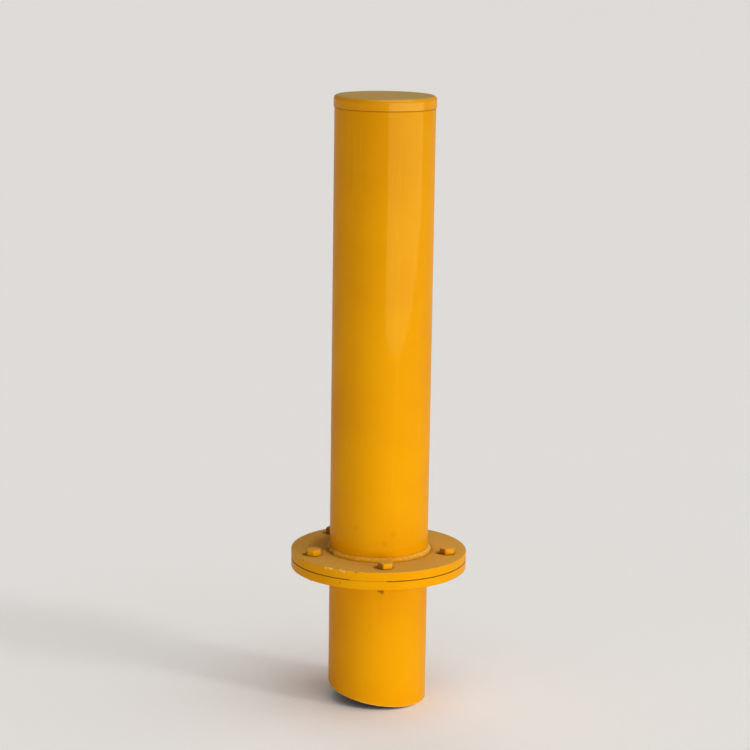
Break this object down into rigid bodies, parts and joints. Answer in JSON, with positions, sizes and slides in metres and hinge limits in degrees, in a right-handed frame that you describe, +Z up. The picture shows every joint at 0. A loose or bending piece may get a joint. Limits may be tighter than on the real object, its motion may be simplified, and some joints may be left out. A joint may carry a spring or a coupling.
{
  "type": "safety bollard",
  "caption": "Flanged steel pipe bollard with a pushed-on top cap, bolted through its base flange to a flanged pipe stub that is cast into the ground.",
  "frame": {"origin": "on the post's axis at the ground line, which is the underside of the ground flange", "axes": "+Z up along the post; -Y faces the side seen from the front; one of the five bolts sits 12.5 degrees before +X, towards -Y, and the stub's torch-cut end is lowest towards +X and -Y"},
  "size_m": [0.3, 0.3, 1.0399],
  "materials": {
    "tube_paint": "semi-gloss yellow enamel, sprayed, slightly uneven",
    "flange_paint": "yellow enamel dulled by dust on its upward faces, chipped along its edges",
    "weld_paint": "rippled weld bead under yellow enamel",
    "cap_paint": "yellow enamel, dusty on top",
    "fastener_paint": "hexagon fasteners painted over in yellow enamel"
  },
  "bodies": {
    "ground_socket": {"ground_tube": "tube_paint", "ground_flange": "flange_paint", "ground_outer_weld": "weld_paint", "ground_inner_weld": "weld_paint", "nut_1": "fastener_paint", "nut_2": "fastener_paint", "nut_3": "fastener_paint", "nut_4": "fastener_paint", "nut_5": "fastener_paint"},
    "post": {"post_tube": "tube_paint", "post_flange": "flange_paint", "post_outer_weld": "weld_paint", "post_inner_weld": "weld_paint"},
    "cap": {"top_cap": "cap_paint"},
    "bolt_1_body": {"bolt_1": "fastener_paint"},
    "bolt_2_body": {"bolt_2": "fastener_paint"},
    "bolt_3_body": {"bolt_3": "fastener_paint"},
    "bolt_4_body": {"bolt_4": "fastener_paint"},
    "bolt_5_body": {"bolt_5": "fastener_paint"}
  },
  "joints": [
    {"name": "post_lift", "type": "slide", "parent": "ground_socket", "child": "post", "axis": [0, 0, 1], "range_m": [0, 0.12]},
    {"name": "cap_pull", "type": "slide", "parent": "post", "child": "cap", "axis": [0, 0, 1], "range_m": [0, 0.05]},
    {"name": "bolt_1_unscrew", "type": "slide", "parent": "post", "child": "bolt_1_body", "axis": [0, 0, 1], "range_m": [0, 0.06]},
    {"name": "bolt_2_unscrew", "type": "slide", "parent": "post", "child": "bolt_2_body", "axis": [0, 0, 1], "range_m": [0, 0.06]},
    {"name": "bolt_3_unscrew", "type": "slide", "parent": "post", "child": "bolt_3_body", "axis": [0, 0, 1], "range_m": [0, 0.06]},
    {"name": "bolt_4_unscrew", "type": "slide", "parent": "post", "child": "bolt_4_body", "axis": [0, 0, 1], "range_m": [0, 0.06]},
    {"name": "bolt_5_unscrew", "type": "slide", "parent": "post", "child": "bolt_5_body", "axis": [0, 0, 1], "range_m": [0, 0.06]}
  ]
}
